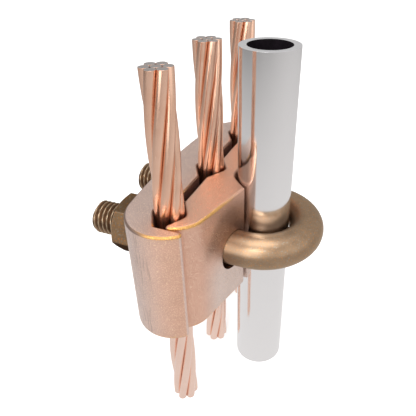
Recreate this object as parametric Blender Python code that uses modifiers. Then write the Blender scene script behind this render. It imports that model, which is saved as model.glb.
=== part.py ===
"""Earth rod clamp: two cast halves and a U-bolt that grip an earth rod and three stranded conductors.

Units are metres. Inside the clamp the rod's axis is the origin, X runs along the row of conductors,
Y runs from the rod through both halves to the nuts, and Z runs up the rod. The empty clamp_frame
moves all of it so that the world origin is at the bottom centre of the whole part.
"""

import math

import bmesh
import bpy
from mathutils import Matrix, Vector

# Gaps between pieces, how far a cut runs past a face, and how near two points are welded
SOLID_GAP = 0.0003
CUT_OVERRUN = 0.002
WELD_DISTANCE = 0.000003

# Earth rod, and the length that the rod and the conductors are cut to
ROD_DIAMETER = 0.0213
ROD_WALL = 0.00277
ROD_END_CHAMFER = 0.0003
CUT_LENGTH = 0.147

# Conductors: six strands laid round a straight one
STRAND_DIAMETER = 0.0033
LAY_LENGTH = 0.147
STRAND_COUNT = 6
CONDUCTOR_TO_LEG = 0.00525

# U-bolt and its nuts
BOLT_DIAMETER = 0.014
BOLT_RISE = 0.0008
BEND_CLEARANCE = 0.00085
THREAD_SHOWN = 0.0122
LEG_END_CHAMFER = 0.0012
NUT_ACROSS_FLATS = 0.022
NUT_HEIGHT = 0.0128
NUT_FACE_SHARE = 0.95
NUT_CHAMFER_ANGLE = math.radians(30)
NUT_COUNTERSINK = 0.0007
NUT_REST_TURN = math.radians(7.2)

# Both cast halves
BODY_HEIGHT = 0.047
BODY_RISE = 0.0003
EDGE_ROUNDING = 0.001
SLIT_WIDTH = 0.0031
GROOVE_FLANK_ANGLE = math.radians(30)
GROOVE_APEX_RADIUS = 0.0035

# Front half: the saddle block between the rod and the conductors
SADDLE_FLANK_ANGLE = math.radians(45)
SADDLE_APEX_RADIUS = 0.009
SADDLE_WALL = 0.0052
FRONT_TIP_REACH = 0.0087
FRONT_NOSE_REACH = 0.0015
FRONT_SLOPE = math.radians(13.7)
FRONT_SHOULDER_RADIUS = 0.0113
FRONT_TIP_RADIUS = 0.0012
SADDLE_MOUTH_RADIUS = 0.001
FRONT_HOLE_DROP = 0.0023

# Rear half: the cap whose hooked ends reach round the front half
REAR_THICKNESS = 0.017
REAR_HOLE_DIAMETER = 0.0155
LIP_WALL = 0.0058
END_CENTRE_RISE = 0.0007
END_SHARE_ANGLE = math.radians(40)
BACK_CORNER_GROWTH = 0.0032
LIP_TIP_RADIUS = 0.0013
LIP_TIP_ANGLE = math.radians(-40.5)
LIP_FLARE_HEIGHT = 0.0025
PAD_RISE = 0.0003
PAD_MARGIN = 0.0007
PAD_DRAFT = 0.0008
PAD_DEPTH = 0.0085

# Facets
ROUND_SEGMENTS = 40
ARC_STEP = math.radians(10)
STRAND_SIDES = 8
STRAND_STEPS = 20
BOLT_BEVEL_RESOLUTION = 6
BEND_SEGMENTS = 24
EDGE_SEGMENTS = 2

# Angles: flatter than FLAT_ANGLE is one face, sharper than SHARP_ANGLE is shaded as an edge,
# and sharper than ROUNDED_ANGLE is an edge that the casting rounds
FLAT_ANGLE = math.radians(0.2)
SHARP_ANGLE = math.radians(32)
ROUNDED_ANGLE = math.radians(75)

# Places that follow from the sizes
ROD_RADIUS = ROD_DIAMETER / 2
BOLT_RADIUS = BOLT_DIAMETER / 2
STRAND_RADIUS = STRAND_DIAMETER / 2
STRAND_PITCH_RADIUS = STRAND_DIAMETER + SOLID_GAP
CONDUCTOR_RADIUS = STRAND_PITCH_RADIUS + STRAND_RADIUS
BEND_RADIUS = ROD_RADIUS + BEND_CLEARANCE + BOLT_RADIUS
BEND_CENTRE_Y = BEND_CLEARANCE - SOLID_GAP
CONDUCTOR_PITCH = BEND_RADIUS + BOLT_RADIUS + CONDUCTOR_TO_LEG + CONDUCTOR_RADIUS
NUT_CORNER_RADIUS = NUT_ACROSS_FLATS / 2 / math.cos(math.pi / 6)
PAD_RADIUS = NUT_CORNER_RADIUS + PAD_MARGIN

# Distance from the rod's axis to the saddle's flanks, and where those flanks would meet
SADDLE_REACH = ROD_RADIUS + SOLID_GAP
SADDLE_POINT_Y = SADDLE_REACH / math.cos(SADDLE_FLANK_ANGLE)
SADDLE_ARC_Y = SADDLE_POINT_Y - SADDLE_APEX_RADIUS / math.cos(SADDLE_FLANK_ANGLE)
SADDLE_APEX_Y = SADDLE_ARC_Y + SADDLE_APEX_RADIUS

# The same for a conductor's groove, measured from the conductor's axis
GROOVE_REACH = CONDUCTOR_RADIUS + SOLID_GAP
GROOVE_POINT_DEPTH = GROOVE_REACH / math.cos(GROOVE_FLANK_ANGLE)
GROOVE_ARC_DEPTH = GROOVE_POINT_DEPTH - GROOVE_APEX_RADIUS / math.cos(GROOVE_FLANK_ANGLE)
GROOVE_APEX_DEPTH = GROOVE_ARC_DEPTH + GROOVE_APEX_RADIUS
GROOVE_HALF_MOUTH = (GROOVE_POINT_DEPTH - SLIT_WIDTH / 2) / math.tan(GROOVE_FLANK_ANGLE)

# How far the front half reaches to each side, and the rear half's rounding of its ends and corners
FRONT_HALF_WIDTH = CONDUCTOR_PITCH + FRONT_TIP_REACH
END_RADIUS = FRONT_TIP_REACH + SOLID_GAP + LIP_WALL
BACK_CORNER_RADIUS = END_RADIUS + BACK_CORNER_GROWTH

# The stack along Y: saddle, wall, conductors, cap, pad, nut, end of the leg
ROW_Y = SADDLE_APEX_Y + SADDLE_WALL + GROOVE_APEX_DEPTH
BACK_CROWN_Y = ROW_Y + SLIT_WIDTH / 2 + REAR_THICKNESS
PAD_FACE_Y = BACK_CROWN_Y + PAD_RISE
NUT_CENTRE_Y = PAD_FACE_Y + SOLID_GAP + NUT_HEIGHT / 2
LEG_END_Y = NUT_CENTRE_Y + NUT_HEIGHT / 2 + THREAD_SHOWN
BEND_FRONT_Y = BEND_CENTRE_Y - BEND_RADIUS - BOLT_RADIUS
FRAME_SHIFT_Y = (LEG_END_Y + BEND_FRONT_Y) / 2

COLLECTION_NAME = "earth_rod_clamp"
CUTTER_COLLECTION_NAME = "cutters"


# Scene, materials and placing


def clear_scene():
    for item in list(bpy.data.objects):
        bpy.data.objects.remove(item, do_unlink=True)


def new_collection(name):
    collection = bpy.data.collections.new(name)
    bpy.context.scene.collection.children.link(collection)
    return collection


def metal(name, colour, roughness):
    material = bpy.data.materials.new(name)
    material.use_nodes = True
    shader = material.node_tree.nodes["Principled BSDF"]
    shader.inputs["Base Color"].default_value = (*colour, 1.0)
    shader.inputs["Roughness"].default_value = roughness
    shader.inputs["Metallic"].default_value = 1.0
    return material


def new_empty(name, parent, location):
    empty = bpy.data.objects.new(name, None)
    parts.objects.link(empty)
    empty.parent = parent
    empty.location = location
    return empty


def new_part(name, mesh, parent, location=(0, 0, 0), rotation=(0, 0, 0)):
    part = bpy.data.objects.new(name, mesh)
    parts.objects.link(part)
    part.parent = parent
    part.location = location
    part.rotation_euler = rotation
    return part


def new_cutter(name, mesh, parent, location=(0, 0, 0), rotation=(0, 0, 0)):
    cutter = bpy.data.objects.new(name, mesh)
    cutters.objects.link(cutter)
    cutter.parent = parent
    cutter.location = location
    cutter.rotation_euler = rotation
    cutter.hide_render = True
    cutter.display_type = "WIRE"
    return cutter


def add_boolean(part, cutter, operation):
    boolean = part.modifiers.new(cutter.name, "BOOLEAN")
    boolean.operation = operation
    boolean.object = cutter
    boolean.solver = "EXACT"


def smooth(mesh):
    mesh.shade_smooth()
    mesh.set_sharp_from_angle(angle=SHARP_ANGLE)


# Outlines


def arc(centre, radius, start, end):
    """Points of an arc from one angle to another, both ends included, about ARC_STEP apart."""
    count = max(2, math.ceil(abs(end - start) / ARC_STEP))
    angles = [start + (end - start) * step / count for step in range(count + 1)]
    return [(centre[0] + radius * math.cos(a), centre[1] + radius * math.sin(a)) for a in angles]


def fillet(before, corner, after, radius):
    """The arc of this radius that rounds the corner between two straight edges."""
    corner = Vector(corner)
    back = (Vector(before) - corner).normalized()
    ahead = (Vector(after) - corner).normalized()
    half = back.angle(ahead) / 2
    middle = corner + (back + ahead).normalized() * radius / math.sin(half)
    first = corner + back * radius / math.tan(half) - middle
    last = corner + ahead * radius / math.tan(half) - middle
    start = math.atan2(first.y, first.x)
    turn = math.remainder(math.atan2(last.y, last.x) - start, math.tau)
    return arc(middle, radius, start, start + turn)


def mirrored_outline(half):
    """A closed outline from the half at X >= 0, whose first and last points lie on X = 0."""
    return half + [(-x, y) for x, y in reversed(half[1:-1])]


def groove_apex(centre_x, side, start, end):
    """The rounded bottom of a groove. Side is -1 in the front half and +1 in the rear half."""
    points = arc((centre_x, -GROOVE_ARC_DEPTH), GROOVE_APEX_RADIUS, start, end)
    return [(x, ROW_Y - side * y) for x, y in points]


def front_outline():
    """Plan of the front half: grooves and slit face at the back, shoulders, sloping faces and saddle."""
    slit_y = ROW_Y - SLIT_WIDTH / 2
    down = -math.pi / 2
    flank = GROOVE_FLANK_ANGLE

    # The shoulder's arc is tangent to the sloping face and to the half's widest line
    slope = math.tan(FRONT_SLOPE)
    shoulder_x = FRONT_HALF_WIDTH - FRONT_SHOULDER_RADIUS
    shoulder_y = FRONT_NOSE_REACH + slope * shoulder_x + FRONT_SHOULDER_RADIUS / math.cos(FRONT_SLOPE)
    shoulder = Vector((shoulder_x, shoulder_y))

    # The tip's arc is tangent to the shoulder's arc from inside and to the outer groove's flank
    normal = Vector((-math.sin(flank), math.cos(flank)))
    groove_point = Vector((CONDUCTOR_PITCH, ROW_Y - GROOVE_POINT_DEPTH))
    reach = FRONT_SHOULDER_RADIUS - FRONT_TIP_RADIUS
    spread = math.acos((-FRONT_TIP_RADIUS - normal.dot(shoulder - groove_point)) / reach)
    tip_angle = flank - down - spread
    tip = shoulder + reach * Vector((math.cos(tip_angle), math.sin(tip_angle)))

    # The saddle's mouth is where the sloping face meets the saddle's flank
    mouth_x = (SADDLE_POINT_Y - FRONT_NOSE_REACH) / (slope + math.tan(SADDLE_FLANK_ANGLE))
    mouth = (mouth_x, FRONT_NOSE_REACH + slope * mouth_x)
    slope_start = (shoulder_x, FRONT_NOSE_REACH + slope * shoulder_x)
    saddle = arc((0, SADDLE_ARC_Y), SADDLE_APEX_RADIUS, SADDLE_FLANK_ANGLE, -down)

    half = groove_apex(0, -1, down, down + flank)
    half.append((GROOVE_HALF_MOUTH, slit_y))
    half.append((CONDUCTOR_PITCH - GROOVE_HALF_MOUTH, slit_y))
    half += groove_apex(CONDUCTOR_PITCH, -1, down - flank, down + flank)
    half += arc(tip, FRONT_TIP_RADIUS, flank - down, tip_angle)
    half += arc(shoulder, FRONT_SHOULDER_RADIUS, tip_angle, down + FRONT_SLOPE)[1:]
    half += fillet(slope_start, mouth, saddle[0], SADDLE_MOUTH_RADIUS)
    half += saddle
    return mirrored_outline(half)


def rear_outline():
    """Plan of the rear half: grooves and slit face, hooked lips, round ends and the bowed back."""
    slit_y = ROW_Y + SLIT_WIDTH / 2
    down = -math.pi / 2
    flank = GROOVE_FLANK_ANGLE
    lip_inner_x = FRONT_HALF_WIDTH + SOLID_GAP

    # The outer groove's flank runs out to the lip's inner face
    flank_end_y = ROW_Y + GROOVE_POINT_DEPTH - (lip_inner_x - CONDUCTOR_PITCH) * math.tan(flank)

    # The lip's tip is rounded inside the end's arc
    end = Vector((CONDUCTOR_PITCH, ROW_Y + END_CENTRE_RISE))
    reach = END_RADIUS - LIP_TIP_RADIUS
    tip = end + reach * Vector((math.cos(LIP_TIP_ANGLE), math.sin(LIP_TIP_ANGLE)))

    # The back corner's arc leaves the end's arc at END_SHARE_ANGLE and runs into the bowed back
    corner = end - BACK_CORNER_GROWTH * Vector((math.cos(END_SHARE_ANGLE), math.sin(END_SHARE_ANGLE)))
    rise = BACK_CROWN_Y - BACK_CORNER_RADIUS
    bow_y = (rise**2 - corner.length_squared) / (2 * (rise - corner.y))
    bow_angle = math.atan2(corner.y - bow_y, corner.x)

    half = groove_apex(0, 1, down, down + flank)
    half.append((GROOVE_HALF_MOUTH, slit_y))
    half.append((CONDUCTOR_PITCH - GROOVE_HALF_MOUTH, slit_y))
    half += groove_apex(CONDUCTOR_PITCH, 1, down - flank, down + flank)
    half.append((lip_inner_x, flank_end_y))
    half.append((lip_inner_x, tip.y + LIP_FLARE_HEIGHT))
    half += arc(tip, LIP_TIP_RADIUS, -math.pi, LIP_TIP_ANGLE)
    half += arc(end, END_RADIUS, LIP_TIP_ANGLE, END_SHARE_ANGLE)[1:]
    half += arc(corner, BACK_CORNER_RADIUS, END_SHARE_ANGLE, bow_angle)[1:]
    half += arc((0, bow_y), BACK_CROWN_Y - bow_y, bow_angle, -down)[1:]
    return mirrored_outline(half)


def slot_outline():
    """The front half's leg hole: a half circle round the leg, and one below it to leave room."""
    radius = BOLT_RADIUS + SOLID_GAP
    return arc((0, 0), radius, 0, math.pi) + arc((0, -FRONT_HOLE_DROP), radius, math.pi, math.tau)


# Meshes


def evaluated_mesh(item, name):
    """The mesh of an object as the viewport shows it. The object is then removed."""
    bpy.context.view_layer.update()
    graph = bpy.context.evaluated_depsgraph_get()
    mesh = bpy.data.meshes.new_from_object(item.evaluated_get(graph))
    mesh.name = name
    bpy.data.objects.remove(item, do_unlink=True)
    return mesh


def tidied(mesh, fill_ends=False):
    """Welds loose caps, merges flat faces and turns every face outwards."""
    form = bmesh.new()
    form.from_mesh(mesh)
    bmesh.ops.remove_doubles(form, verts=form.verts, dist=WELD_DISTANCE)
    if fill_ends:
        bmesh.ops.holes_fill(form, edges=form.edges)
    bmesh.ops.dissolve_limit(form, angle_limit=FLAT_ANGLE, verts=form.verts, edges=form.edges)
    bmesh.ops.recalc_face_normals(form, faces=form.faces)
    form.to_mesh(mesh)
    form.free()
    return mesh


def plate_mesh(name, outline, thickness):
    """A flat outline filled and given a thickness, centred on its own plane."""
    curve = bpy.data.curves.new(name, "CURVE")
    curve.dimensions = "2D"
    curve.fill_mode = "BOTH"
    curve.extrude = thickness / 2
    spline = curve.splines.new("POLY")
    spline.points.add(len(outline) - 1)
    for point, (x, y) in zip(spline.points, outline):
        point.co = (x, y, 0, 1)
    spline.use_cyclic_u = True
    item = bpy.data.objects.new(name, curve)
    bpy.context.scene.collection.objects.link(item)
    return tidied(evaluated_mesh(item, name))


def cylinder_mesh(name, bottom_radius, top_radius, height, sides=ROUND_SEGMENTS):
    form = bmesh.new()
    bmesh.ops.create_cone(
        form,
        cap_ends=True,
        segments=sides,
        radius1=bottom_radius,
        radius2=top_radius,
        depth=height,
    )
    mesh = bpy.data.meshes.new(name)
    form.to_mesh(mesh)
    form.free()
    return mesh


def profile_mesh(name, profile, closed):
    """Edges through (radius, height) points, which a Screw modifier turns about Z."""
    edges = [(i, i + 1) for i in range(len(profile) - 1)]
    if closed:
        edges.append((len(profile) - 1, 0))
    mesh = bpy.data.meshes.new(name)
    mesh.from_pydata([(radius, 0, height) for radius, height in profile], edges, [])
    return mesh


def add_screw(item, steps, angle=math.tau, rise=0.0):
    screw = item.modifiers.new("turn", "SCREW")
    screw.axis = "Z"
    screw.angle = angle
    screw.screw_offset = rise
    screw.steps = steps
    screw.render_steps = steps
    screw.use_merge_vertices = rise == 0
    screw.merge_threshold = WELD_DISTANCE
    screw.use_smooth_shade = True


# Earth rod


def earth_rod(parent):
    """A tube turned about the clamp's origin, with its ends cut square and lightly chamfered."""
    top = CUT_LENGTH / 2
    cut = ROD_END_CHAMFER
    bore = ROD_RADIUS - ROD_WALL
    outer = [
        (ROD_RADIUS - cut, top),
        (ROD_RADIUS, top - cut),
        (ROD_RADIUS, cut - top),
        (ROD_RADIUS - cut, -top),
    ]
    inner = [(bore + cut, -top), (bore, cut - top), (bore, top - cut), (bore + cut, top)]
    rod = new_part("earth_rod", profile_mesh("earth_rod", outer + inner, True), parent)
    add_screw(rod, ROUND_SEGMENTS)
    rod.data.materials.append(metal("rod_steel", (0.77, 0.77, 0.79), 0.09))


# Conductors


def strand_mesh():
    """One laid strand: a circle off the axis, screwed up the conductor's length, its ends filled flat."""
    turn = math.tau * CUT_LENGTH / LAY_LENGTH
    form = bmesh.new()
    offset = Matrix.Translation((STRAND_PITCH_RADIUS, 0, -CUT_LENGTH / 2))
    bmesh.ops.create_circle(form, segments=STRAND_SIDES, radius=STRAND_RADIUS, matrix=offset)
    circle = bpy.data.meshes.new("strand_circle")
    form.to_mesh(circle)
    form.free()
    item = bpy.data.objects.new("strand_circle", circle)
    bpy.context.scene.collection.objects.link(item)
    add_screw(item, STRAND_STEPS, turn, CUT_LENGTH)
    mesh = tidied(evaluated_mesh(item, "laid_strand"), fill_ends=True)
    smooth(mesh)
    return mesh


def conductors(parent):
    """Three conductors in a row, each with a straight core and six strands laid round it.

    The first strand ends on the +X side at the top, so the lay starts one turn share earlier below.
    """
    copper = metal("strand_copper", (0.86, 0.55, 0.42), 0.3)
    laid = strand_mesh()
    laid.materials.append(copper)
    core = cylinder_mesh("core_strand", STRAND_RADIUS, STRAND_RADIUS, CUT_LENGTH, STRAND_SIDES)
    core.materials.append(copper)
    smooth(core)
    top_turn = math.tau * CUT_LENGTH / LAY_LENGTH
    for label, place in (("near", -1), ("middle", 0), ("far", 1)):
        axis = new_empty(f"conductor_{label}", parent, (place * CONDUCTOR_PITCH, ROW_Y, 0))
        new_part(f"conductor_{label}_core", core, axis)
        for number in range(STRAND_COUNT):
            turn = math.tau * number / STRAND_COUNT - top_turn
            new_part(f"conductor_{label}_strand_{number + 1}", laid, axis, rotation=(0, 0, turn))


# U-bolt and nuts


def bolt_path():
    """Centre line of the U-bolt with a thickness share at each point, from far leg end to near leg end."""
    tip_share = 1 - LEG_END_CHAMFER / BOLT_RADIUS
    far_leg = [(LEG_END_Y, tip_share), (LEG_END_Y - LEG_END_CHAMFER, 1)]
    path = [(BEND_RADIUS, y, share) for y, share in far_leg]
    for step in range(BEND_SEGMENTS + 1):
        angle = -math.pi * step / BEND_SEGMENTS
        x = BEND_RADIUS * math.cos(angle)
        path.append((x, BEND_CENTRE_Y + BEND_RADIUS * math.sin(angle), 1))
    path += [(-BEND_RADIUS, y, share) for y, share in reversed(far_leg)]
    return path


def u_bolt(parent):
    """A round bar bent round the rod, with its two legs' ends chamfered."""
    curve = bpy.data.curves.new("u_bolt", "CURVE")
    curve.dimensions = "3D"
    curve.bevel_depth = BOLT_RADIUS
    curve.bevel_resolution = BOLT_BEVEL_RESOLUTION
    curve.use_fill_caps = True
    curve.twist_mode = "Z_UP"
    path = bolt_path()
    spline = curve.splines.new("POLY")
    spline.points.add(len(path) - 1)
    for point, (x, y, share) in zip(spline.points, path):
        point.co = (x, y, 0, 1)
        point.radius = share
    item = bpy.data.objects.new("u_bolt_curve", curve)
    bpy.context.scene.collection.objects.link(item)
    mesh = tidied(evaluated_mesh(item, "u_bolt"))
    mesh.materials.append(metal("bolt_bronze", (0.36, 0.25, 0.15), 0.38))
    smooth(mesh)
    new_part("u_bolt", mesh, parent, (0, 0, BOLT_RISE))


def nut_chamfer_profile():
    """A barrel whose two cones cut the hexagon's corners, from its top to its bottom."""
    face_radius = NUT_FACE_SHARE * NUT_ACROSS_FLATS / 2
    slope = math.tan(NUT_CHAMFER_ANGLE)
    wide = NUT_CORNER_RADIUS + CUT_OVERRUN
    narrow = face_radius - CUT_OVERRUN / slope
    shoulder = NUT_HEIGHT / 2 - (wide - face_radius) * slope
    end = NUT_HEIGHT / 2 + CUT_OVERRUN
    upper = [(0, end), (narrow, end), (wide, shoulder)]
    return upper + [(radius, -height) for radius, height in reversed(upper)]


def nut_bore_profile():
    """The bore and its two countersinks, from its top to its bottom."""
    bore = BOLT_RADIUS + SOLID_GAP
    end = NUT_HEIGHT / 2 + CUT_OVERRUN
    wide = bore + NUT_COUNTERSINK + CUT_OVERRUN
    upper = [(0, end), (wide, end), (bore, NUT_HEIGHT / 2 - NUT_COUNTERSINK)]
    return upper + [(radius, -height) for radius, height in reversed(upper)]


def nuts(parent):
    """Two hexagon nuts, each with its origin on its leg's axis, its bore along Y.

    The tightened nuts' corners stand NUT_REST_TURN past the level of the legs.
    """
    bronze = metal("nut_bronze", (0.34, 0.24, 0.13), 0.45)
    for label, side in (("near", -1), ("far", 1)):
        hexagon = cylinder_mesh(f"nut_{label}", NUT_CORNER_RADIUS, NUT_CORNER_RADIUS, NUT_HEIGHT, 6)
        hexagon.materials.append(bronze)
        place = (side * BEND_RADIUS, NUT_CENTRE_Y, BOLT_RISE)
        turn = math.pi / 6 - NUT_REST_TURN
        nut = new_part(f"nut_{label}", hexagon, parent, place, (-math.pi / 2, turn, 0))
        for use, profile, operation in (
            ("chamfer", nut_chamfer_profile(), "INTERSECT"),
            ("bore", nut_bore_profile(), "DIFFERENCE"),
        ):
            name = f"nut_{label}_{use}"
            cutter = new_cutter(name, profile_mesh(name, profile, False), nut)
            add_screw(cutter, ROUND_SEGMENTS)
            add_boolean(nut, cutter, operation)


# Cast halves


def cast_half(name, outline, colour, roughness, parent):
    """A half of the clamp: its plan given the body's height, with the top and bottom edges rounded."""
    mesh = plate_mesh(name, outline, BODY_HEIGHT)
    mesh.materials.append(metal(f"{name}_copper", colour, roughness))
    smooth(mesh)
    half = new_part(name, mesh, parent, (0, 0, BODY_RISE))
    rounding = half.modifiers.new("edge_rounding", "BEVEL")
    rounding.width = EDGE_ROUNDING
    rounding.segments = EDGE_SEGMENTS
    rounding.limit_method = "ANGLE"
    rounding.angle_limit = ROUNDED_ANGLE
    return half


def front_body(parent):
    """The saddle block, with a tall hole for each leg of the U-bolt."""
    half = cast_half("front_body", front_outline(), (0.83, 0.47, 0.33), 0.42, parent)
    depth = ROW_Y + CUT_OVERRUN
    for label, side in (("near", -1), ("far", 1)):
        name = f"front_hole_{label}"
        slot = plate_mesh(name, slot_outline(), depth)
        place = (side * BEND_RADIUS, depth / 2, BOLT_RISE)
        hole = new_cutter(name, slot, parent, place, (math.pi / 2, 0, 0))
        add_boolean(half, hole, "DIFFERENCE")


def rear_body(parent):
    """The cap, with a raised flat pad under each nut and a round hole through it."""
    half = cast_half("rear_body", rear_outline(), (0.80, 0.55, 0.45), 0.45, parent)
    hole_depth = PAD_FACE_Y - ROW_Y + CUT_OVERRUN
    hole_radius = REAR_HOLE_DIAMETER / 2
    for label, side in (("near", -1), ("far", 1)):
        x = side * BEND_RADIUS
        pad_mesh = cylinder_mesh(f"pad_{label}", PAD_RADIUS + PAD_DRAFT, PAD_RADIUS, PAD_DEPTH)
        place = (x, PAD_FACE_Y - PAD_DEPTH / 2, BOLT_RISE)
        pad = new_cutter(f"pad_{label}", pad_mesh, parent, place, (-math.pi / 2, 0, 0))
        add_boolean(half, pad, "UNION")
        hole_mesh = cylinder_mesh(f"rear_hole_{label}", hole_radius, hole_radius, hole_depth)
        place = (x, ROW_Y + hole_depth / 2, BOLT_RISE)
        hole = new_cutter(f"rear_hole_{label}", hole_mesh, parent, place, (-math.pi / 2, 0, 0))
        add_boolean(half, hole, "DIFFERENCE")


clear_scene()
parts = new_collection(COLLECTION_NAME)
cutters = new_collection(CUTTER_COLLECTION_NAME)

clamp = new_empty("clamp_frame", None, (0, -FRAME_SHIFT_Y, CUT_LENGTH / 2))
earth_rod(clamp)
u_bolt(clamp)
front_half = new_empty("front_half", clamp, (0, 0, 0))
front_body(front_half)
conductors(front_half)
rear_half = new_empty("rear_half", front_half, (0, 0, 0))
rear_body(rear_half)
nuts(rear_half)
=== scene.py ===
# Earth rod clamp: finished surfaces, metals, light and camera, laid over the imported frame.
import math

import bpy
import numpy as np
from mathutils import Matrix, Vector


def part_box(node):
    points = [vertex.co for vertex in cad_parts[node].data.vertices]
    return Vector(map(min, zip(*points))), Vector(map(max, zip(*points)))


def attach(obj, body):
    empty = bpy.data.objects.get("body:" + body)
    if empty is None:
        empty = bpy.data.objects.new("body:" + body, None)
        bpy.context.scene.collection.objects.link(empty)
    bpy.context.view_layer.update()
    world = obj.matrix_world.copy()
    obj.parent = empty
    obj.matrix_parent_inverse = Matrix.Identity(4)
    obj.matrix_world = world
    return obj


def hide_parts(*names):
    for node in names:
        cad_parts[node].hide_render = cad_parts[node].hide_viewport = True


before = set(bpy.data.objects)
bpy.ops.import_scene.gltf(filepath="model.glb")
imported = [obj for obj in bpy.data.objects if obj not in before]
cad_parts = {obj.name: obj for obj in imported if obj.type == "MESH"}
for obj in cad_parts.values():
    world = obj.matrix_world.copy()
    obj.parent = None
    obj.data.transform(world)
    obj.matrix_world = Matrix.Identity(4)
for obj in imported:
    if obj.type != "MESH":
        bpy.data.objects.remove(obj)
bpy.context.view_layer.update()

mm = 0.001
rodLow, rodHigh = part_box("earth_rod")
home = np.array([(rodLow.x + rodHigh.x) / 2, (rodLow.y + rodHigh.y) / 2, (rodLow.z + rodHigh.z) / 2])
homeX, homeY, homeZ = home.tolist()
print("frame loaded: the clamp's own origin is on the rod's axis, half way up it, at", home.round(5))


# Shapes. Every surface is worked out in mm from the clamp's own origin, then moved to its place.

def gridFaces(rows, columns, closedRows=False):
    # the quads between each row and the next and each column and the next; the last column joins the first
    i = np.arange(rows if closedRows else rows - 1)[:, None]
    j = np.arange(columns)[None, :]
    nextI, nextJ = (i + 1) % rows, (j + 1) % columns
    quads = [i * columns + j, i * columns + nextJ, nextI * columns + nextJ, nextI * columns + j]
    return np.stack(quads, -1).reshape(-1, 4)


def makePiece(name, points, body, nodes=(), materials=(), closedRows=False, capSlot=0):
    # points[i, j] is row i along the piece and column j round it. Each row closes on itself, and either the
    # last row joins the first or both end rows are filled. The faces are turned out if their volume is
    # negative.
    rows, columns = points.shape[:2]
    flat = points.reshape(-1, 3) * mm + home
    quads = gridFaces(rows, columns, closedRows)
    a, b, c, d = (flat[quads[:, k]] for k in range(4))
    centre = flat.mean(0)
    volume = (np.cross(b - a, c - a) * (a - centre)).sum() + (np.cross(c - a, d - a) * (a - centre)).sum()
    if volume < 0:
        quads = quads[:, ::-1]
    faces = quads.tolist()
    if not closedRows:
        first, last = np.arange(columns), np.arange(columns) + (rows - 1) * columns
        ends = [first[::-1], last] if volume >= 0 else [first, last[::-1]]
        faces += [end.tolist() for end in ends]
    mesh = bpy.data.meshes.new(name)
    mesh.from_pydata(flat.tolist(), [], faces)
    for material in materials:
        mesh.materials.append(material)
    if not closedRows:
        slots = np.zeros(len(faces), np.int32)
        slots[-2:] = capSlot
        mesh.polygons.foreach_set("material_index", slots)
    piece = bpy.data.objects.new(name, mesh)
    bpy.context.scene.collection.objects.link(piece)
    if body:
        dress(piece, body, nodes)
    return piece


def dress(piece, body, nodes, sharpAngle=38):
    # smooth shading, with edges kept where two faces meet at more than sharpAngle degrees, and the piece's
    # place in the frame
    piece.data.shade_smooth()
    piece.data.set_sharp_from_angle(angle=math.radians(sharpAngle))
    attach(piece, body)
    if nodes:
        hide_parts(*nodes)


def compass(angle):
    # the unit vector that stands at an angle, in degrees from +X towards +Y
    return np.array([math.cos(math.radians(angle)), math.sin(math.radians(angle))])


def arcRun(x, y, radius, start, end, step=4):
    # points on a circle from one angle to another, in degrees, both ends included
    angles = np.radians(np.linspace(start, end, max(3, int(abs(end - start) / step) + 2)))
    return np.stack([x + radius * np.cos(angles), y + radius * np.sin(angles)], -1)


def cornerRun(before, corner, after, radius):
    # the circle that touches both straight edges of a corner: its centre lies on the bisector,
    # radius / sin(half angle) away
    before, corner, after = (np.array(p, float) for p in (before, corner, after))
    back = (before - corner) / np.linalg.norm(before - corner)
    ahead = (after - corner) / np.linalg.norm(after - corner)
    half = math.acos(float(np.clip(back @ ahead, -1, 1))) / 2
    middle = corner + (back + ahead) / np.linalg.norm(back + ahead) * radius / math.sin(half)
    ends = [corner + side * radius / math.tan(half) - middle for side in (back, ahead)]
    start, end = (math.degrees(math.atan2(p[1], p[0])) for p in ends)
    return arcRun(*middle, radius, start, start + math.remainder(end - start, 360), 8)


def guarded(outline, reach=0.25, shortest=1.5):
    # puts a point shortly after the start and before the end of every straight edge that isn't short,
    # so that it shades as flat
    ahead = np.roll(outline, -1, 0) - outline
    length = np.linalg.norm(ahead, axis=1, keepdims=True)
    unit = ahead / length
    runs = np.stack([outline, outline + unit * reach, outline + unit * (length - reach)], 1)
    keep = np.ones(runs.shape[:2], bool)
    keep[length[:, 0] < shortest, 1:] = False
    return runs[keep]


def turned(radius, level, angle):
    # circles round the Z axis, one for each radius and its level
    across, along = radius[:, None] * np.cos(angle), radius[:, None] * np.sin(angle)
    return np.stack([across, along, np.broadcast_to(level[:, None], across.shape)], -1)


def castBlock(outline, height, rounding, inside=0.05, beyond=0.3):
    # outline carried up the casting: each row is the outline drawn in along its normals by the row's inset,
    # and the insets follow a quarter circle at the lower and the upper edge. A row inside the flat face and
    # one beyond the rounding keep both shading flat.
    ahead, behind = np.roll(outline, -1, 0) - outline, outline - np.roll(outline, 1, 0)
    ahead, behind = (v / np.linalg.norm(v, axis=1, keepdims=True) for v in (ahead, behind))
    along = ahead + behind
    along /= np.linalg.norm(along, axis=1, keepdims=True)
    area = (outline[:, 0] * np.roll(outline[:, 1], -1) - np.roll(outline[:, 0], -1) * outline[:, 1]).sum()
    outward = np.stack([along[:, 1], -along[:, 0]], -1) * np.sign(area)
    turn = np.radians(np.linspace(0, 90, 7))
    inset = np.concatenate([[rounding + inside], rounding * (1 - np.sin(turn)), [0]])
    level = np.concatenate([[0], rounding * (1 - np.cos(turn)), [rounding + beyond]]) - height / 2
    inset = np.concatenate([inset, inset[::-1]])
    level = np.concatenate([level, -level[::-1]]) + casting["rise"]
    plan = outline[None] - outward[None] * inset[:, None, None]
    return np.concatenate([plan, np.broadcast_to(level[:, None, None], plan.shape[:2] + (1,))], -1)


# Castings

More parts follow.
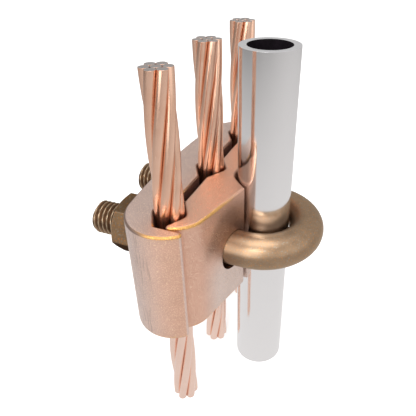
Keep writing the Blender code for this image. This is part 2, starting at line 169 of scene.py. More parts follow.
casting = {
    "height": 47.0,          # lower to upper face
    "rise": 0.3,             # how far its middle stands above the rod's
    "rounding": 1.0,         # radius of the upper and lower edges
    "edge": 1.25,            # radius of the slit's, grooves' and saddle's upright edges
    "row": 22.825,           # from the rod's axis to the row of conductors
    "slit": 3.1,             # gap between the two halves
    "pitch": 36.0,           # from conductor to conductor
    "flank": 30.0,           # slant of the grooves' flanks, in degrees
    "groovePoint": 6.409,    # from a conductor's axis to where its groove's flanks would meet
    "grooveArc": 3.5,        # radius of the groove's bottom
    "legs": 18.5,            # from the rod's axis to each leg
    "legRise": 0.8,          # how far the legs stand above the rod's middle
}
cap = {
    "lip": 9.0,              # from the outer conductor's axis to the lip's inner face
    "lipRounding": 0.6,      # radius where the groove's flank meets that face
    "flare": 2.5,            # how far behind the tip's middle that face starts to flare
    "flareRounding": 3.0,    # radius where it starts to flare
    "tip": 1.3,              # radius of the lip's tip
    "tipAngle": -40.5,       # where the round end meets the tip, in degrees
    "end": 14.8,             # radius of the round end
    "endBack": 0.7,          # how far the round end's middle stands behind the row
    "corner": 18.0,          # radius of the back corner
    "cornerAngle": 40.0,     # where the round end meets the back corner, in degrees
    "back": 17.0,            # from the slit's face to the middle of the back
}
saddle = {
    "face": 1.5,             # how far behind the rod's axis the two sloping faces would meet
    "slope": 13.7,           # their slant, in degrees
    "reach": 8.7,            # how far the half reaches past the outer conductor's axis
    "shoulder": 11.3,        # radius of the shoulder
    "tip": 1.2,              # radius of the tip inside the lip
    "flanks": 10.95,         # from the rod's axis to the saddle's flanks
    "bottom": 9.0,           # radius of the saddle's bottom
}
holes = {                    # from and to along Y, radius, and how much taller than wide
    "front": {"start": -6, "end": 30, "radius": 7.3, "drop": 2.3},
    "rear": {"start": 20, "end": 50, "radius": 7.75, "drop": 0.0},
}
pad = {
    "face": 17.3,            # from the slit's face to the pad's flat face
    "inner": 8.0,            # radius of a ring inside the flat face
    "rim": 13.0,             # radius of the flat face
    "rounding": 0.4,         # radius of the rim's edge
    "foot": 14.2,            # radius at the pad's foot, inside the cap
    "depth": 8.5,            # from the flat face to the foot
}


def grooveRun(x, side, start, end):
    # a groove's rounded bottom; side is 1 in the rear half and -1 in the front half
    depth = casting["groovePoint"] - casting["grooveArc"] / math.cos(math.radians(casting["flank"]))
    run = arcRun(x, depth, casting["grooveArc"], start, end, 5)
    return np.stack([run[:, 0], casting["row"] + side * run[:, 1]], -1)


def bothSides(half):
    # a half outline from X = 0 to X = 0, and its mirror image run back
    return guarded(np.vstack([half, half[-2:0:-1] * (-1, 1)]))


def slitRun(side):
    # the middle groove's bottom, the two upright edges where the slit's face meets the middle groove's and
    # the outer groove's flanks, and the outer groove's bottom
    pitch, row, flank = casting["pitch"], casting["row"], casting["flank"]
    face = row + side * casting["slit"] / 2
    mouth = (casting["groovePoint"] - casting["slit"] / 2) / math.tan(math.radians(flank))
    inner, outer = (mouth, face), (pitch - mouth, face)
    wallShade = row + side * casting["groovePoint"]
    first = cornerRun((0, wallShade), inner, outer, casting["edge"])
    second = cornerRun(inner, outer, (pitch, wallShade), casting["edge"])
    return [grooveRun(0, side, 90, 90 - flank), first, second, grooveRun(pitch, side, 90 + flank, 90 - flank)]


def rearPlan():
    # grooves and slit face, hooked lip, round end, back corner and the long bow of the back
    pitch, row = casting["pitch"], casting["row"]
    groovePoint = (pitch, row + casting["groovePoint"])
    flankEnd = (pitch + cap["lip"], groovePoint[1] - cap["lip"] * math.tan(math.radians(casting["flank"])))
    end = np.array([pitch, row + cap["endBack"]])
    tip = end + (cap["end"] - cap["tip"]) * compass(cap["tipAngle"])
    corner = end - (cap["corner"] - cap["end"]) * compass(cap["cornerAngle"])
    rise = row + casting["slit"] / 2 + cap["back"] - cap["corner"]
    bow = (rise**2 - corner @ corner) / (2 * (rise - corner[1]))
    bowAngle = math.degrees(math.atan2(corner[1] - bow, corner[0]))
    flareTop = (flankEnd[0], tip[1] + cap["flare"])
    half = slitRun(1)
    half.append(cornerRun(groovePoint, flankEnd, flareTop, cap["lipRounding"]))
    half.append(cornerRun(flankEnd, flareTop, (tip[0] - cap["tip"], tip[1]), cap["flareRounding"]))
    half.append(arcRun(*tip, cap["tip"], -180, cap["tipAngle"], 10))
    half.append(arcRun(*end, cap["end"], cap["tipAngle"], cap["cornerAngle"])[1:])
    half.append(arcRun(*corner, cap["corner"], cap["cornerAngle"], bowAngle)[1:])
    half.append(arcRun(0, bow, rise + cap["corner"] - bow, bowAngle, 90, 0.6)[1:])
    return bothSides(np.vstack(half))


def frontPlan():
    # grooves and slit face, tip inside the lip, shoulder, sloping face, saddle's mouth, flank and bottom.
    # The tip's angle makes its circle touch both the shoulder's circle and the groove's flank.
    pitch, row, slope = casting["pitch"], casting["row"], math.radians(saddle["slope"])
    shoulderX = pitch + saddle["reach"] - saddle["shoulder"]
    shoulderFace = saddle["face"] + math.tan(slope) * shoulderX
    shoulder = np.array([shoulderX, shoulderFace + saddle["shoulder"] / math.cos(slope)])
    flankAngle = 90 + casting["flank"]
    toGroove = compass(flankAngle) @ (shoulder - (pitch, row - casting["groovePoint"]))
    apart = saddle["shoulder"] - saddle["tip"]
    tipAngle = flankAngle - math.degrees(math.acos((-saddle["tip"] - toGroove) / apart))
    tip = shoulder + apart * compass(tipAngle)
    saddlePoint = saddle["flanks"] * math.sqrt(2)
    mouthX = (saddlePoint - saddle["face"]) / (math.tan(slope) + 1)
    mouth = (mouthX, saddle["face"] + math.tan(slope) * mouthX)
    bottom = arcRun(0, saddlePoint - saddle["bottom"] * math.sqrt(2), saddle["bottom"], 45, 90)
    half = slitRun(-1)
    half.append(arcRun(*tip, saddle["tip"], flankAngle, tipAngle, 10))
    half.append(arcRun(*shoulder, saddle["shoulder"], tipAngle, saddle["slope"] - 90)[1:])
    half.append(cornerRun((shoulderX, shoulderFace), mouth, bottom[0], casting["edge"]))
    half.append(bottom)
    return bothSides(np.vstack(half))


def legHole(name, x, start, end, radius, drop):
    # a circle round the leg, or two half circles drop apart, carried from start to end along Y
    angle = np.radians(np.arange(0, 360, 5) + 2.5)
    ring = radius * np.stack([np.cos(angle), np.sin(angle)], -1)
    ring[:, 1] += casting["legRise"] - drop * (ring[:, 1] < 0)
    rows = [np.stack([x + ring[:, 0], np.full(len(ring), y), ring[:, 1]], -1) for y in (start, end)]
    return makePiece(name, np.array(rows), None)


def padBoss(name, x, face):
    # a flat round pad turned about the leg: rounded rim and slightly tapered side, sunk into the cap
    angle = np.radians(np.arange(0, 360, 4))
    turn = np.radians(np.linspace(0, 90, 6))
    radius = np.concatenate([[pad["inner"]], pad["rim"] + pad["rounding"] * np.sin(turn), [pad["foot"]]])
    level = np.concatenate([[face], face - pad["rounding"] * (1 - np.cos(turn)), [face - pad["depth"]]])
    return makePiece(name, turned(radius, level, angle)[..., [1, 2, 0]] + (x, 0, casting["legRise"]), None)


def carved(block, joins, cuts, body, node):
    # the cast block with its pads added and its leg holes cut, kept as one mesh
    for operation, tools in (("UNION", joins), ("DIFFERENCE", cuts)):
        for tool in tools:
            step = block.modifiers.new(tool.name, "BOOLEAN")
            step.operation, step.object, step.solver = operation, tool, "EXACT"
    graph = bpy.context.evaluated_depsgraph_get()
    mesh = bpy.data.meshes.new_from_object(block.evaluated_get(graph))
    block.modifiers.clear()
    block.data = mesh
    mesh.name = block.name
    for tool in (*joins, *cuts):
        bpy.data.objects.remove(tool, do_unlink=True)
    dress(block, body, [node])


# Materials. Lengths in their dictionaries are in metres. A pair of limits says where an effect is absent and
# where it is full.

def connect(tree, node, inputs):
    # links each named input to another node's socket, or sets it to a fixed value
    for name, value in inputs.items():
        socket = node.inputs[name]
        if isinstance(value, bpy.types.NodeSocket):
            tree.links.new(value, socket)
        else:
            socket.default_value = value


def addNode(tree, kind, inputs=None, **settings):
    # a new node, with its settings made and its inputs connected
    made = tree.nodes.new(kind)
    for name, value in settings.items():
        setattr(made, name, value)
    connect(tree, made, inputs or {})
    return made


def maths(tree, operation, first, second=0.0):
    # one operation on one or two numbers
    return addNode(tree, "ShaderNodeMath", {0: first, 1: second}, operation=operation).outputs[0]


def times(tree, product, *others):
    # all the numbers multiplied together
    for other in others:
        product = maths(tree, "MULTIPLY", product, other)
    return product


def measure(tree, operation, first, second=(0, 0, 0)):
    # the distance or dot product of two vectors, or the length of the first
    return addNode(tree, "ShaderNodeVectorMath", {0: first, 1: second}, operation=operation).outputs["Value"]


def parts(tree, vector):
    # a vector's X, Y and Z
    return addNode(tree, "ShaderNodeSeparateXYZ", {0: vector}).outputs


def apartFrom(tree, point, **given):
    # the distance from a point, over the coordinates that are given: one that is left out counts as 0
    return measure(tree, "DISTANCE", addNode(tree, "ShaderNodeCombineXYZ", given).outputs[0], point)


def aboveMiddle(tree, at):
    # the signed height above the castings' middle
    return maths(tree, "SUBTRACT", at["Z"], homeZ + casting["rise"] * mm)


def blend(tree, factor, first, second, how="MIX"):
    # a mix of two colours: the first at a factor of 0, the second at 1
    sockets = {0: factor, 6: first, 7: second}
    return addNode(tree, "ShaderNodeMix", sockets, data_type="RGBA", blend_type=how).outputs[2]


def scaled(colour, by):
    # a colour with its red, green and blue multiplied by one number
    return tuple(by * c for c in colour[:3]) + (1,)


def spread(tree, value, limits, full=1.0, none=0.0):
    # none at the first of two limits and full at the second, eased at both ends
    sockets = {"Value": value, "From Min": limits[0], "From Max": limits[1], "To Min": none, "To Max": full}
    return addNode(tree, "ShaderNodeMapRange", sockets, interpolation_type="SMOOTHSTEP").outputs["Result"]


def noise(tree, vector, scale, detail=2.0, roughness=0.5):
    # cloudy noise between 0 and 1, finer for a larger scale
    sockets = {"Vector": vector, "Scale": scale, "Detail": detail, "Roughness": roughness}
    return addNode(tree, "ShaderNodeTexNoise", sockets).outputs["Fac"]


def bump(tree, height, strength, distance):
    # the surface's normal, tilted by the slope of a height
    sockets = {"Height": height, "Strength": strength, "Distance": distance}
    return addNode(tree, "ShaderNodeBump", sockets).outputs["Normal"]


def newGroup(name, inputs, outputs):
    # a node group with inputs of the given kinds, and outputs that are all numbers
    group = bpy.data.node_groups.new(name, "ShaderNodeTree")
    for label, kind in inputs.items():
        group.interface.new_socket(label, in_out="INPUT", socket_type=f"NodeSocket{kind}")
    for label in outputs:
        group.interface.new_socket(label, in_out="OUTPUT", socket_type="NodeSocketFloat")
    return group, group.nodes.new("NodeGroupInput").outputs, group.nodes.new("NodeGroupOutput")


def placeGroup(tree, group, inputs):
    # a group placed in a material with its own values
    return addNode(tree, "ShaderNodeGroup", inputs, node_tree=group).outputs


def newMaterial(name):
    # a material with its shader and the piece's own coordinates
    material = bpy.data.materials.new(name)
    material.use_nodes = True
    tree = material.node_tree
    place = addNode(tree, "ShaderNodeTexCoord").outputs["Object"]
    return material, tree, tree.nodes["Principled BSDF"], place


def buildLineGroup():
    # fine lines: noise that is stretched by a different amount along each axis
    inputs = {"Vector": "Vector", "Stretch": "Vector", "Scale": "Float"}
    group, given, result = newGroup("fineLines", inputs, ["Lines"])
    stretched = addNode(group, "ShaderNodeMapping", {"Vector": given["Vector"], "Scale": given["Stretch"]})
    connect(group, result, {"Lines": noise(group, stretched.outputs[0], given["Scale"])})
    return group


def fineLines(tree, place, stretch, scale):
    # the line group placed in a material
    return placeGroup(tree, lineGroup, {"Vector": place, "Stretch": stretch, "Scale": scale})["Lines"]


sandFinish = {
    "fineDetail": 3.0, "fineRoughness": 0.7,  # of the fine grains
    "unevenness": 160.0, "unevenHeight": 0.6,  # scale and height of the slower unevenness
    "sparkle": 1.2, "sparkleAt": (0.5, 0.68),  # scale of the bright grains against the fine ones', and limits
    "mottleAt": (0.35, 0.65), "mottle": 0.12,  # limits and strength of the dull patches
    "dull": 0.5,  # how dull the metal is between the bright grains
    "brightAt": (0.35, 1.0), "bright": 0.6,  # limits and strength of the pale specks
}


def buildGrainGroup():
    # sand-cast grain: fine grains over a slower unevenness, dull between the bright grains, pale on them
    look = sandFinish
    outputs = ("Height", "Sparkle", "Dull", "Bright")
    group, given, result = newGroup("sandGrain", {"Vector": "Vector", "Grain": "Float"}, outputs)
    fine = noise(group, given["Vector"], given["Grain"], look["fineDetail"], look["fineRoughness"])
    slow = noise(group, given["Vector"], look["unevenness"])
    grains = noise(group, given["Vector"], times(group, given["Grain"], look["sparkle"]), 1.0)
    sparkle = spread(group, grains, look["sparkleAt"])
    mottle = times(group, spread(group, slow, look["mottleAt"]), look["mottle"])
    between = spread(group, sparkle, (0.0, 1.0), 0.0, look["dull"])
    connect(group, result, {
        "Height": maths(group, "ADD", fine, times(group, slow, look["unevenHeight"])),
        "Sparkle": sparkle,
        "Dull": maths(group, "ADD", mottle, between),
        "Bright": spread(group, sparkle, look["brightAt"], look["bright"]),
    })
    return group


castFinish = {
    "grain": 2400.0, "relief": 0.00018,  # scale and height of the sand grain
    "dim": (0.64, 0.60, 0.58, 1),  # what the dull grains are multiplied by
    "speck": (1.0, 0.78, 0.58, 1),  # the pale specks
    "gloss": -0.12,  # change of roughness on the bright grains
    "upward": (0.35, 0.95),  # of the normal's Z: from a side to the top
    "oxideAndSheen": (-0.006, 0.013),  # of the frame's Y, from the rod's side to the back: greyer oxide there, with painted sheen
    "wall": (-0.0004, -0.0012),  # painted shade on the slit's and grooves' walls: of the distance behind the row times the normal's Y
    "wallFrom": (0.0232, 0.0190), "wallShadeLevel": 0.3,  # distance from the castings' middle, and strength
    "rimLow": (0.0, 0.22), "rimHigh": (0.985, 0.88), "rimReflectionLevel": 0.9,  # of the normal's Z on the upper edge, which takes a painted dark reflection
    "goldFacing": (0.30, -0.10),  # of the normal's Y: the painted glints lie where it faces the rod
    "goldAlong": (-0.014, -0.028),  # of the frame's X, towards the near end
    "goldClear": (0.0075, 0.0090),  # from the near conductor's axis
    "goldBelow": (0.0214, 0.0228), "goldTilt": (0.5, 0.2),  # the side just under the edge
    "goldSpecks": (0.1, 0.7), "goldSpeckLevel": 0.8,  # bright grains that take the gold there
    "goldMix": (0.0, 0.7), "darkGold": (0.64, 0.33, 0.12, 1),  # gold between the bright grains
}
frontCopper = {
    "side": (1.0, 0.615, 0.465, 1), "top": (0.92, 0.59, 0.44, 1), "roughness": 0.36,
    # greyer colours towards the back on the next line: oxide with painted sheen
    # the last colour on the next line is the painted shade on the slit's and grooves' walls
    "oxideAndSheenSide": (0.88, 0.58, 0.48, 1), "oxideAndSheenTop": (0.86, 0.58, 0.48, 1), "wallShade": (0.28, 0.13, 0.10, 1),
    # the first colour on the next line is edge wear with painted glints
    # the rim colour on the next line is a painted dark reflection on the upper edge
    "edgeWearAndGlint": (1.0, 0.61, 0.18, 1), "rim": (0.62, 0.36, 0.26, 1),
    "inner": (1.0, 0.82, 0.74, 1),  # painted light: paler side below the legs
    "innerAcross": (0.040, 0.027), "innerHeight": (0.084, 0.064),  # of X and of Z
    "legShade": (0.42, 0.25, 0.19, 1), "legShadeLevel": 0.72,  # painted shade and dark reflection of the U-bolt on the side above the legs
    "legShadeAround": (0.0200, 0.0135), "legShadeLift": 0.004,  # from a point at the leg, this far above the rod
    "legShadeHeight": (0.076, 0.083),  # of Z
}
rearCopper = {
    "side": (1.0, 0.63, 0.47, 1), "top": (0.78, 0.53, 0.42, 1), "roughness": 0.42,
    # greyer colours towards the back on the next line: oxide with painted sheen
    # the last colour on the next line is the painted shade on the slit's and grooves' walls
    "oxideAndSheenSide": (0.98, 0.81, 0.75, 1), "oxideAndSheenTop": (0.86, 0.67, 0.60, 1), "wallShade": (0.28, 0.13, 0.10, 1),
    # the first colour on the next line is edge wear with painted glints
    # the rim colour on the next line is a painted dark reflection on the upper edge, and the streaks' colour
    "edgeWearAndGlint": (1.0, 0.61, 0.18, 1), "rim": (0.26, 0.17, 0.135, 1),
    "lip": (1.0, 0.78, 0.70, 1), "lipSheenFrom": (-0.0071, -0.0074),  # painted reflection: paler edge of the lip, of Y
    "streaks": 1700.0, "streakStretch": (1.0, 1.0, 0.06),  # scale and stretch of upright streaks
    "streakAt": (0.54, 0.70), "streakDark": 0.32,  # limits in their noise, and strength
    "streakBack": (0.0, 0.004), "streakTilt": (0.3, 0.0),  # of Y, and of the normal's Z
}


def buildEdgeGroup():
    # masks over a casting: faces that look up, the greyer back (oxide with painted sheen), the walls of slit
    # and grooves (painted shade), the upper edge's rounding (painted dark reflection), and gold (edge wear
    # with painted glints). The gold lies on that rounding, and in specks on the side just under it, where
    # they face the rod, towards the row's near end and outside the groove there.
    look = castFinish
    inputs = {"Vector": "Vector", "Normal": "Vector", "Sparkle": "Float"}
    group, given, result = newGroup("castEdges", inputs, ("Upward", "OxideAndSheen", "WallShade", "RimReflection", "EdgeWearAndGlint"))
    at, normal = parts(group, given["Vector"]), parts(group, given["Normal"])
    back, up = normal["Y"], normal["Z"]
    rowY = homeY + casting["row"] * mm
    leaning = times(group, maths(group, "SUBTRACT", at["Y"], rowY), back)
    fromMiddle = maths(group, "ABSOLUTE", aboveMiddle(group, at))
    wallReach = spread(group, fromMiddle, look["wallFrom"], look["wallShadeLevel"])
    rounding = times(group, spread(group, up, look["rimLow"]), spread(group, up, look["rimHigh"]))
    under = times(group, spread(group, fromMiddle, look["goldBelow"]), spread(group, up, look["goldTilt"]))
    specks = times(group, under, spread(group, given["Sparkle"], look["goldSpecks"], look["goldSpeckLevel"]))
    facing = times(group, spread(group, back, look["goldFacing"]), spread(group, at["X"], look["goldAlong"]))
    apart = apartFrom(group, (-casting["pitch"] * mm, rowY, 0.0), X=at["X"], Y=at["Y"])
    wornAndGlinting = maths(group, "MAXIMUM", rounding, specks)
    connect(group, result, {
        "Upward": spread(group, up, look["upward"]),
        "OxideAndSheen": spread(group, at["Y"], look["oxideAndSheen"]),
        "WallShade": times(group, spread(group, leaning, look["wall"]), wallReach),
        "RimReflection": times(group, rounding, look["rimReflectionLevel"]),
        "EdgeWearAndGlint": times(group, wornAndGlinting, facing, spread(group, apart, look["goldClear"])),
    })
    return group


def frontSide(tree, at, values):
    # the front half's side: painted light makes it paler below the legs and away from its ends, and painted
    # shade with the U-bolt's dark reflection darkens a round patch above each leg
    outward = maths(tree, "ABSOLUTE", at["X"])
    across = spread(tree, outward, values["innerAcross"])
    lower = times(tree, across, spread(tree, at["Z"], values["innerHeight"]))
    # painted light: paler below the legs and away from the ends
    side = blend(tree, lower, values["side"], values["inner"])
    # painted shade and dark reflection of the U-bolt round each leg
    around = apartFrom(tree, (casting["legs"] * mm, 0.0, homeZ + values["legShadeLift"]), X=outward, Z=at["Z"])
    legShade = spread(tree, around, values["legShadeAround"], values["legShadeLevel"])
    return blend(tree, times(tree, legShade, spread(tree, at["Z"], values["legShadeHeight"])), side, values["legShade"])


def uprightStreaks(tree, place, at, normal, values):
    # how dark the streaks are: none on the rod's side of the frame's middle, nor where a face looks up
    lines = fineLines(tree, place, values["streakStretch"], values["streaks"])
    dark = spread(tree, lines, values["streakAt"], values["streakDark"])
    upright = spread(tree, parts(tree, normal)["Z"], values["streakTilt"])
    return times(tree, dark, spread(tree, at["Y"], values["streakBack"]), upright)


def castMetal(name, values):
    # side and top colours by how far the surface faces up, greyer away from the rod (oxide with painted
    # sheen), painted shade on the slit's and grooves' walls, with grain over all, a painted dark reflection
    # on the upper edge, and gold on it (edge wear with painted glints)
    look = castFinish
    material, tree, shader, place = newMaterial(name)
    at = parts(tree, place)
    normal = addNode(tree, "ShaderNodeNewGeometry").outputs["Normal"]
    grain = placeGroup(tree, grainGroup, {"Vector": place, "Grain": look["grain"]})
    mask = placeGroup(tree, edgeGroup, {"Vector": place, "Normal": normal, "Sparkle": grain["Sparkle"]})
    # only the front half carries the painted shade above the legs
    if "legShade" in values:
        side = frontSide(tree, at, values)
    else:
        # the rear half's side, with a painted reflection that makes the lip's edge paler
        side = blend(tree, spread(tree, at["Y"], values["lipSheenFrom"]), values["side"], values["lip"])
    # greyer towards the back: oxide with painted sheen
    oxideAndSheen = blend(tree, mask["Upward"], values["oxideAndSheenSide"], values["oxideAndSheenTop"])
    colour = blend(tree, mask["OxideAndSheen"], blend(tree, mask["Upward"], side, values["top"]), oxideAndSheen)
    # painted shade on the slit's and grooves' walls
    colour = blend(tree, mask["WallShade"], colour, values["wallShade"])
    colour = blend(tree, grain["Dull"], colour, blend(tree, 1.0, colour, look["dim"], "MULTIPLY"))
    colour = blend(tree, grain["Bright"], colour, look["speck"])
    if "streaks" in values:
        colour = blend(tree, uprightStreaks(tree, place, at, normal, values), colour, values["rim"])
    # painted dark reflection on the upper edge's rounding
    colour = blend(tree, mask["RimReflection"], colour, values["rim"])
    # gold: edge wear with painted glints
    edgeWearAndGlint = blend(tree, spread(tree, grain["Sparkle"], look["goldMix"]), look["darkGold"], values["edgeWearAndGlint"])
    colour = blend(tree, mask["EdgeWearAndGlint"], colour, edgeWearAndGlint)
    rough = maths(tree, "ADD", values["roughness"], times(tree, grain["Sparkle"], look["gloss"]))
    relief = bump(tree, grain["Height"], 1.0, look["relief"])
    connect(tree, shader, {"Base Color": colour, "Roughness": rough, "Metallic": 1.0, "Normal": relief})
    return material


patinaFinish = {
    "clouds": 220.0, "cloudAt": (0.3, 0.7), "cloudDark": 0.5, "cloudHeight": 0.8,  # scale, limits, strengths
    "flecks": 1500.0, "warmAt": (0.56, 0.70), "coolAt": (0.57, 0.72),  # scale, and limits in each one's noise
    "apart": (0.31, 0.17, 0.53),  # from the warm flecks' noise to the cool ones'
    "fine": 4200.0, "relief": 0.00005, "reliefStrength": 0.25,  # scale and height of the finest grain
    "wear": 0.55, "grooveDark": 0.8, "coolRough": 0.2,  # strengths of both attributes, and of dull cool flecks
}
boltBronze = {
    "base": (0.405, 0.272, 0.170, 1), "dark": (0.27, 0.18, 0.115, 1), "flecks": 0.7,
    "warm": (0.64, 0.30, 0.11, 1), "cool": (0.42, 0.40, 0.35, 1), "worn": (0.53, 0.42, 0.29, 1),
    # the shaded colour is the painted shade, and also the darkening down in the thread's groove
    "shaded": (0.16, 0.105, 0.07, 1), "grazing": (1.0, 0.96, 0.88, 1), "roughness": 0.36,
    "besideRod": (0.0180, 0.0130),  # painted shade next to the rod: from its axis
    "besideAcross": (-0.004, 0.004), "besideNear": 0.8, "besideFar": 0.4,  # of X, and strength each side
    "holeFrom": (-0.004, 0.004), "holeTo": (0.030, 0.020),  # painted shade at the near hole: of Y behind the rod
    "holeAcross": (0.0, -0.008), "holeDark": 0.35,  # of X, and strength
}
nutBronze = {
    "base": (0.185, 0.115, 0.062, 1), "dark": (0.11, 0.07, 0.045, 1), "flecks": 0.9,
    "warm": (0.36, 0.145, 0.04, 1), "cool": (0.20, 0.23, 0.21, 1), "worn": (0.42, 0.32, 0.23, 1),
    # the shaded colour is the painted shade on the undersides
    "shaded": (0.05, 0.033, 0.022, 1), "grazing": (0.3, 0.23, 0.17, 1), "roughness": 0.5,
    "under": (-0.1, -0.5), "undersideShade": 0.8,  # painted shade on the undersides: of the normal's Z
}


def buildPatinaGroup():
    # bronze patina: broad cloudy patches, with small orange and green-grey flecks where two finer noises peak
    look = patinaFinish
    outputs = ("Cloud", "Warm", "Cool", "Height")
    group, given, result = newGroup("bronzePatina", {"Vector": "Vector", "Fleck": "Float"}, outputs)
    place = given["Vector"]
    moved = addNode(group, "ShaderNodeVectorMath", {0: place, 1: look["apart"]}, operation="ADD").outputs[0]
    cloud, fine = noise(group, place, look["clouds"], 4.0, 0.6), noise(group, place, look["fine"])
    connect(group, result, {
        "Cloud": spread(group, cloud, look["cloudAt"]),
        "Warm": spread(group, noise(group, place, given["Fleck"], 2.0, 0.6), look["warmAt"]),
        "Cool": spread(group, noise(group, moved, given["Fleck"], 2.0, 0.6), look["coolAt"]),
        "Height": maths(group, "ADD", fine, times(group, cloud, look["cloudHeight"])),
    })
    return group


def boltShade(tree, place, values):
    # painted shade: how dark the bolt is next to the rod, more on the near side, and where its near leg
    # enters the hole
    at = parts(tree, place)
    apart = apartFrom(tree, (homeX, homeY, 0.0), X=at["X"], Y=at["Y"])
    side = spread(tree, at["X"], values["besideAcross"], values["besideFar"], values["besideNear"])
    back = maths(tree, "SUBTRACT", at["Y"], homeY)
    hole = spread(tree, back, values["holeFrom"], values["holeDark"])
    nearSide = spread(tree, at["X"], values["holeAcross"])
    hole = times(tree, hole, spread(tree, back, values["holeTo"]), nearSide)
    return times(tree, spread(tree, apart, values["besideRod"]), side), hole


def patinaMetal(name, values):
    # base bronze clouded darker, then flecked, lighter where the piece's own wear attribute rises and darker
    # where its attribute for depth in the thread's groove rises. The nuts get painted shade on their
    # undersides too, and the bolt painted shade where boltShade says.
    look = patinaFinish
    material, tree, shader, place = newMaterial(name)
    patina = placeGroup(tree, patinaGroup, {"Vector": place, "Fleck": look["flecks"]})
    grooveDark = addNode(tree, "ShaderNodeAttribute", attribute_name="grooveDark").outputs["Fac"]
    wear = addNode(tree, "ShaderNodeAttribute", attribute_name="wear").outputs["Fac"]
    colour = blend(tree, times(tree, patina["Cloud"], look["cloudDark"]), values["base"], values["dark"])
    colour = blend(tree, times(tree, patina["Warm"], values["flecks"]), colour, values["warm"])
    colour = blend(tree, times(tree, patina["Cool"], values["flecks"]), colour, values["cool"])
    colour = blend(tree, times(tree, wear, look["wear"]), colour, values["worn"])
    # darker down in the thread's groove, then the painted shades, all towards the shaded colour
    shades = [times(tree, grooveDark, look["grooveDark"])]
    if "under" in values:
        # painted shade on the undersides
        upward = parts(tree, addNode(tree, "ShaderNodeNewGeometry").outputs["Normal"])["Z"]
        shades.append(spread(tree, upward, values["under"], values["undersideShade"]))
    if "besideRod" in values:
        shades += boltShade(tree, place, values)
    for shade in shades:
        colour = blend(tree, shade, colour, values["shaded"])
    rough = maths(tree, "ADD", values["roughness"], times(tree, patina["Cool"], look["coolRough"]))
    relief = bump(tree, patina["Height"], look["reliefStrength"], look["relief"])
    connect(tree, shader, {"Base Color": colour, "Roughness": rough, "Metallic": 1.0, "Normal": relief})
    connect(tree, shader, {"Specular Tint": values["grazing"]})
    return material


wireCopper = {
    "drawn": (0.93, 0.605, 0.45, 1), "tarnish": (0.82, 0.47, 0.32, 1), "roughness": 0.23,
    "tarnishScale": 90.0, "tarnishAt": (0.35, 0.7), "tarnished": 0.45,
    "dieLines": 2600.0, "lineStretch": (1.0, 1.0, 0.04), "lineRough": 0.06,
    "relief": 0.00002, "reliefStrength": 0.02,
    "pale": (1.0, 0.80, 0.72, 1), "paleFrom": (-0.020, -0.030), "paleLevel": 0.6,  # painted light makes the wire paler below the castings: height above the middle
    "foot": (0.26, 0.12, 0.08, 1), "footShadeFrom": (0.0238, 0.0222), "footShadeLevel": 0.5,  # painted shade where the wire enters the groove: distance from the middle
    "cut": (0.42, 0.385, 0.37, 1), "cutRoughness": 0.5, "cutMarks": 3000.0,
}


def drawnWire(name, values):
    # long faint die lines down the wire, with slow tarnish, painted shade down in the groove and painted
    # light that makes it paler below it
    material, tree, shader, place = newMaterial(name)
    lines = fineLines(tree, place, values["lineStretch"], values["dieLines"])
    slow = spread(tree, noise(tree, place, values["tarnishScale"]), values["tarnishAt"])
    above = aboveMiddle(tree, parts(tree, place))
    foot = spread(tree, maths(tree, "ABSOLUTE", above), values["footShadeFrom"], values["footShadeLevel"])
    colour = blend(tree, times(tree, slow, values["tarnished"]), values["drawn"], values["tarnish"])
    # painted light: paler below the castings
    colour = blend(tree, spread(tree, above, values["paleFrom"], values["paleLevel"]), colour, values["pale"])
    # painted shade where the wire goes down into the groove
    colour = blend(tree, foot, colour, values["foot"])
    rough = maths(tree, "ADD", values["roughness"], times(tree, lines, values["lineRough"]))
    relief = bump(tree, lines, values["reliefStrength"], values["relief"])
    connect(tree, shader, {"Base Color": colour, "Roughness": rough, "Metallic": 1.0, "Normal": relief})
    return material


sawMarks = {
    "stretch": (1.0, 0.08, 1.0), "limits": (0.3, 0.7), "dark": 0.85,
    "relief": 0.00004, "reliefStrength": 0.2,
}


def sawnEnd(name, colour, roughness, scale):
    # fine parallel saw marks across a cut end
    material, tree, shader, place = newMaterial(name)
    marks = fineLines(tree, place, sawMarks["stretch"], scale)
    tint = blend(tree, spread(tree, marks, sawMarks["limits"]), scaled(colour, sawMarks["dark"]), colour)
    relief = bump(tree, marks, sawMarks["reliefStrength"], sawMarks["relief"])
    connect(tree, shader, {"Base Color": tint, "Roughness": roughness, "Metallic": 0.9, "Normal": relief})
    return material


rodSteel = {
    "face": (0.90, 0.885, 0.885, 1), "roughness": 0.11,
    "haze": 120.0, "hazeAt": (0.4, 0.8), "hazeTint": 0.3, "hazeShade": 0.96, "hazeRough": 0.02,
    "darkReflection": (0.34, 0.31, 0.31, 1), "darkReflectionLevel": 0.85,  # painted dark reflection of the casting above the saddle
    "darkReflectionTop": (0.0440, 0.0330), "darkReflectionFoot": (0.0222, 0.0262),  # height above the castings' middle
    "darkReflectionBack": (0.0018, 0.0040),  # distance behind the rod's axis
    "end": (0.78, 0.775, 0.79, 1), "endRoughness": 0.35, "endMarks": 2500.0,
    # the bore's colour: dark mill scale, painted near black as the bore's shade
    "bore": (0.006, 0.004, 0.006, 1), "boreRoughness": 0.85, "boreGloss": 0.1,
    "scale": 400.0, "scaleAt": (0.3, 0.7), "scalePale": 1.6,  # patches in the bore
}


